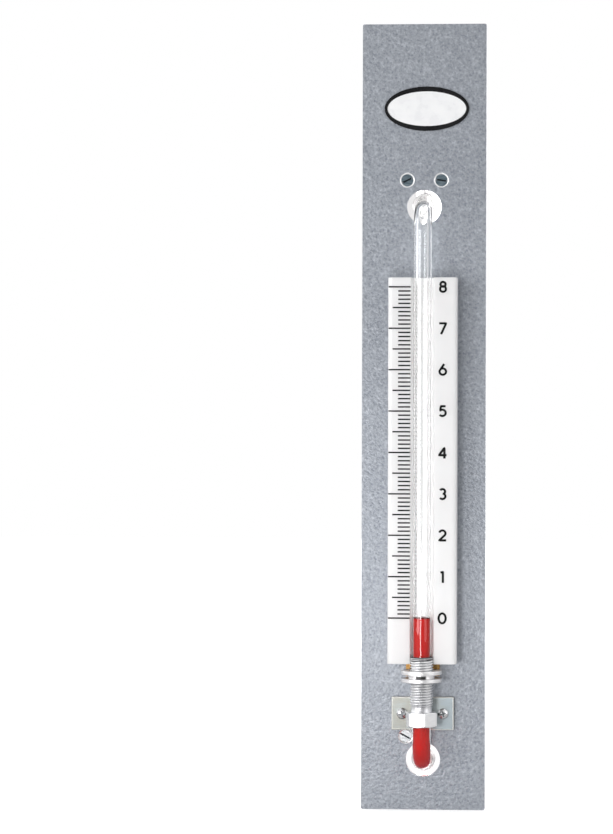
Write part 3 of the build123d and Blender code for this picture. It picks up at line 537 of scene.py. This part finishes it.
def make_plug(chamber):
    """The screw plug of the trap or the well, with its hexagon cap, thread and ring groove."""
    across, cap_height, chamfer, lead = 22.2, 7.4, 1.4, 1.5
    stem, tip, socket, outer, groove, thread_depth = 5.3, 3.9, 8.1, 10.2, 7.65, 0.75
    bore_y = middle(chamber + "_plug")[1]
    top = box_mm(chamber + "_block")[1][2]
    cap = top + 0.1
    cap_top = cap + cap_height
    # Each depth below the block's top with the radius there
    below_thread = [
        (10.4, outer), (11.0, outer), (11.0, groove), (14.0, groove), (14.0, outer), (16.7, outer),
        (17.0, outer - 0.3), (17.0, socket), (15.0, socket), (15.0, tip), (12.6, tip), (12.6, stem),
    ]
    rows = [(cap_top - 0.5, stem), (cap_top, stem + 0.5)]
    rows += chamfer_rows(cap_top, cap_top - chamfer, across, 0, steps=5)
    rows += [(cap, hexagon(across, 0, across)), (cap, outer)]
    rows += reversed(thread_rows(top - 10.2, top - 0.3, outer, outer - thread_depth, lead))
    rows += [(top - depth, radius) for depth, radius in below_thread]
    plug = turned(chamber + "_screw_plug", rows[::-1], about_upright(0, bore_y))
    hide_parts(chamber + "_plug")
    dress(plug, SLOT_MATERIALS["milky_nylon"], chamber + "_closure")


def make_bare_ring(place_name, x, z):
    """The bright cone that a countersink cuts through the paint, as a thin band round a screw's head."""
    film = 0.02
    # Each depth behind the panel's face with the radius there
    cone = [(-0.01, 4.6), (0.03, 4.44), (0.72, 3.75)]
    rows = cone + [(depth - film, radius) for depth, radius in reversed(cone)]
    rows = [(PANEL_FRONT_Y + depth, radius) for depth, radius in rows]
    band = turned("bare_ring_" + place_name, rows, about_level(x, z), count=64)
    dress(band, BARE_STEEL, "stand")


def swell(node, by):
    """Lets a liquid's surface lie just inside the clear wall round it, as wetting does."""
    modifier = nodes[node].modifiers.new("wetting", "DISPLACE")
    modifier.mid_level = 0.0
    modifier.strength = by * MM


# Print on the scale
SCALE_LEFT_X, SCALE_FRONT_Y, SCALE_FOOT_Z = box_mm("scale_bar")[0]
ZERO_Z = SCALE_FOOT_Z + 28.2
INCHES = 8
TENTHS = 10
LINE_INSET = {"inch": 0.4, "half": 2.9, "tenth": 6.3}
LINE_END_X = -7.35
LINE_HALF_HEIGHT = 0.44
NUMERAL_X = 12.5
STROKE_RADIUS = 0.66
NUMERAL_STRETCH = (1.11, 0.06, 1.06)


def add_box(points, faces, x_ends, y_ends, z_ends):
    """Adds a flat box to the lists, with its back and then its front in y_ends."""
    start = len(points)
    (x0, x1), (z0, z1) = x_ends, z_ends
    for y in y_ends:
        points += [(x0, y, z0), (x1, y, z0), (x1, y, z1), (x0, y, z1)]
    for quad in ((0, 1, 2, 3), (4, 7, 6, 5), (0, 4, 5, 1), (1, 5, 6, 2), (2, 6, 7, 3), (3, 7, 4, 0)):
        faces.append(tuple(start + k for k in quad))


def make_graduations():
    """Printed inch, half-inch and tenth lines from zero up."""
    points, faces = [], []
    y_ends = (SCALE_FRONT_Y + 0.05, SCALE_FRONT_Y - 0.03)
    for k in range(INCHES * TENTHS + 1):
        kind = "inch" if k % TENTHS == 0 else ("half" if k % (TENTHS // 2) == 0 else "tenth")
        x_ends = (SCALE_LEFT_X + LINE_INSET[kind], LINE_END_X)
        z = ZERO_Z + INCH / TENTHS * k
        add_box(points, faces, x_ends, y_ends, (z - LINE_HALF_HEIGHT, z + LINE_HALF_HEIGHT))
    lines = add_mesh("graduations", points, faces, smooth=False)
    dress(lines, BLACK_INK, "carriage")


def arc(x, z, radius, start, end, tall=1.0):
    """Points on an arc from start to end degrees, stretched upright by tall."""
    count = max(4, round(abs(end - start) / 10))
    turns = [radians(start + (end - start) * k / count) for k in range(count + 1)]
    return [(x + radius * cos(turn), z + radius * tall * sin(turn)) for turn in turns]


# The middle lines of the plain numerals' strokes, in millimetres about their centres
STROKES = {
    0: [arc(0, 0, 1.95, 90, 450, 1.46)],
    1: [[(-1.0, 2.5), (0.35, 2.9), (0.35, -3.45)]],
    2: [arc(0, 1.2, 1.7, 165, -38) + [(-1.75, -2.85), (2.1, -2.85)]],
    3: [arc(0, 1.4, 1.45, 150, -75), arc(0, -1.3, 1.6, 85, -145)],
    4: [[(1.0, -3.45), (1.0, 2.7), (-1.95, -1.5), (2.2, -1.5)]],
    5: [[(1.6, 2.85), (-0.95, 2.85), (-1.35, 0.25)] + arc(-0.15, -1.0, 1.8, 125, -145)],
    6: [arc(0, -1.1, 1.8, 90, 450), [(-1.5, -0.15), (0.75, 3.3)]],
    7: [[(-2.05, 2.85), (1.75, 2.85), (-1.0, -3.45)]],
    8: [arc(0, 1.45, 1.4, 90, 450), arc(0, -1.28, 1.62, 90, 450)],
}


def near_corners(line, gap=0.35):
    """The line with a point added near each corner, so that its straight runs keep their full width."""
    points = []
    for start, end in zip(line, line[1:]):
        a, b = Vector(start), Vector(end)
        run = (b - a).length
        points.append(start)
        if run > 3 * gap:
            step = (b - a) * gap / run
            points += [tuple(a + step), tuple(b - step)]
    return points + [line[-1]]


def add_stroke(curve, line):
    """Adds a numeral's stroke to its curve. A line that ends where it starts is a ring."""
    closed = (Vector(line[0]) - Vector(line[-1])).length < 1e-6
    path = line[:-1] if closed else near_corners(line)
    spline = curve.splines.new("POLY")
    spline.points.add(len(path) - 1)
    for point, (x, z) in zip(spline.points, path):
        point.co = (x * MM, 0, z * MM, 1)
    spline.use_cyclic_u = closed


def make_numerals():
    """The plain numbers 0 to 8 beside the inch lines, drawn with strokes of one width."""
    for number, lines in STROKES.items():
        curve = bpy.data.curves.new(f"numeral_{number}", "CURVE")
        curve.dimensions = "3D"
        curve.bevel_depth = STROKE_RADIUS * MM
        curve.bevel_resolution = 3
        curve.use_fill_caps = True
        for line in lines:
            add_stroke(curve, line)
        numeral = bpy.data.objects.new(f"numeral_{number}", curve)
        bpy.context.collection.objects.link(numeral)
        numeral.location = Vector((NUMERAL_X, SCALE_FRONT_Y, ZERO_Z + INCH * number)) * MM
        numeral.scale = NUMERAL_STRETCH
        dress(numeral, BLACK_INK, "carriage")


# The x and the z of each countersunk screw that shows
BARE_RINGS = {"trap_left": (-10.6, 293.4), "trap_right": (10.6, 293.4), "well_low": (-10.8, -51.5)}

paint_nodes()
make_fitting()
make_plug("trap")
make_plug("well")
for place_name, (ring_x, ring_z) in BARE_RINGS.items():
    make_bare_ring(place_name, ring_x, ring_z)
for liquid in ("tube_liquid", "well_liquid"):
    swell(liquid, by=0.08)
make_graduations()
make_numerals()


# Studio

FLOOR_HALF_SIDE = 4000
FLOOR_GAP = 0.2


def floor_material():
    """Pale grey with soft shadows near the object, and white to the camera further away."""
    material = bpy.data.materials.new("pale_floor")
    graph = Graph(material)
    grain = graph.noise(graph.at(), scale=3, detail=2)
    pale = graph.node("BsdfDiffuse", Color=graph.mottled(grain, (0.76, 0.76, 0.76), (0.80, 0.80, 0.80)))
    away = graph.node("VectorMath", {"operation": "LENGTH"}, Vector=graph.at())
    level = graph.spread(away.outputs["Value"], 0.55, 1.0, 200 * MM, 700 * MM)
    rays = graph.node("LightPath").outputs
    seen = graph.math("MAXIMUM", rays["Is Camera Ray"], rays["Is Transmission Ray"])
    shown = graph.plus(graph.times(seen, level), graph.times(rays["Is Glossy Ray"], 0.3))
    glow = graph.node("Emission", Color=(1, 1, 1), Strength=shown)
    dimmed = graph.in_order("MixShader", (graph.times(rays["Is Glossy Ray"], 0.7), pale.outputs[0]))
    both = graph.in_order("AddShader", (dimmed, glow.outputs[0]))
    graph.node("OutputMaterial", Surface=both)
    return material


def make_floor():
    side, z = FLOOR_HALF_SIDE, PANEL_FOOT_Z - FLOOR_GAP
    corners = [(-side, -side, z), (side, -side, z), (side, side, z), (-side, side, z)]
    floor = add_mesh("floor", corners, [(0, 1, 2, 3)], smooth=False)
    paint(floor, floor_material())


def make_world():
    """Dim ambient light, which is seen as white itself, and is brighter in reflections save at the front."""
    world = bpy.data.worlds.new("studio")
    graph = Graph(world)
    bpy.context.scene.world = world
    rays = graph.node("LightPath").outputs
    front_to_back = graph.place("Generated")[1]
    gloss_level = graph.spread(front_to_back, 0.34, 1.0, -0.86, -0.5)
    white_level = graph.spread(rays["Is Transmission Ray"], 1.0, 0.9)
    ambient = graph.node("Background", Color=(0.97, 0.985, 1.0), Strength=0.42)
    mirrored = graph.node("Background", Color=(0.99, 0.995, 1.0), Strength=gloss_level)
    white = graph.node("Background", Color=(1, 1, 1), Strength=white_level)
    seen = graph.math("MAXIMUM", rays["Is Camera Ray"], rays["Is Transmission Ray"])
    lit = graph.in_order("MixShader", (rays["Is Glossy Ray"], ambient.outputs[0], mirrored.outputs[0]))
    graph.node("OutputWorld", Surface=graph.in_order("MixShader", (seen, lit, white.outputs[0])))


# Each lamp's place, aim, and width and height in metres, and its power in watts
LIGHTS = {
    "key": ((-0.9, -1.0, 0.25), (0, -0.04, 0.05), (0.8, 0.8), 9),
    "low": ((-0.10, -0.54, -0.01), (-0.03, -0.04, 0.01), (0.1, 0.1), 0.45),
    "fill": ((1.0, -0.8, 0.2), (0, -0.04, 0.12), (0.8, 1.3), 4),
    "top": ((0.0, 0.35, 1.1), (0, 0, 0.1), (1.0, 0.8), 6),
    "side": ((-1.3, 0.55, 0.5), (0, -0.02, 0.12), (0.8, 1.0), 3),
    "rear": ((0.4, 1.1, 0.25), (0, 0, 0.12), (1.0, 1.0), 9),
}


def make_light(name, place, aim, size, power):
    light = bpy.data.lights.new(name, "AREA")
    light.shape = "RECTANGLE"
    light.size, light.size_y = size
    light.energy = power
    obj = bpy.data.objects.new(name, light)
    obj.location = place
    obj.rotation_euler = (Vector(aim) - Vector(place)).to_track_quat("-Z", "Y").to_euler()
    bpy.context.collection.objects.link(obj)


# Camera: 0.62 mm to a pixel at the panel's face, seen from 1.49 m away
MM_PER_PIXEL = 0.62
DISTANCE = 1490.0
IMAGE_WIDTH, IMAGE_HEIGHT = 613, 834
SENSOR_HEIGHT = 36.0
AXIS_ROW = 440.0
PANEL_FOOT_ROW = 809.5
OBJECT_COLUMN = 423.65
LEAN = radians(0.155)
AZIMUTH = radians(3.0)


def make_camera():
    """A level camera at AXIS_ROW, whose shift puts the object at its place in the photograph's frame."""
    data = bpy.data.cameras.new("camera")
    data.sensor_fit = "VERTICAL"
    data.sensor_height = SENSOR_HEIGHT
    data.lens = SENSOR_HEIGHT * DISTANCE / (IMAGE_HEIGHT * MM_PER_PIXEL)
    data.shift_x = -(OBJECT_COLUMN - IMAGE_WIDTH / 2) / IMAGE_HEIGHT
    data.shift_y = (AXIS_ROW - IMAGE_HEIGHT / 2) / IMAGE_HEIGHT
    data.clip_start = 0.05
    camera = bpy.data.objects.new("camera", data)
    aim = Vector((0, PANEL_FRONT_Y, PANEL_FOOT_Z + (PANEL_FOOT_ROW - AXIS_ROW) * MM_PER_PIXEL))
    place = aim + DISTANCE * Vector((sin(AZIMUTH), -cos(AZIMUTH), 0))
    camera.location = place * MM
    look = (aim - place).to_track_quat("-Z", "Y").to_matrix()
    camera.rotation_euler = (look @ Matrix.Rotation(LEAN, 3, "Z")).to_euler()
    bpy.context.collection.objects.link(camera)
    bpy.context.scene.camera = camera


make_floor()
make_world()
for light_name, light_values in LIGHTS.items():
    make_light(light_name, *light_values)
make_camera()
bpy.context.scene.cycles.max_bounces = 24
bpy.context.scene.cycles.transmission_bounces = 24
bpy.context.scene.view_settings.view_transform = "Standard"
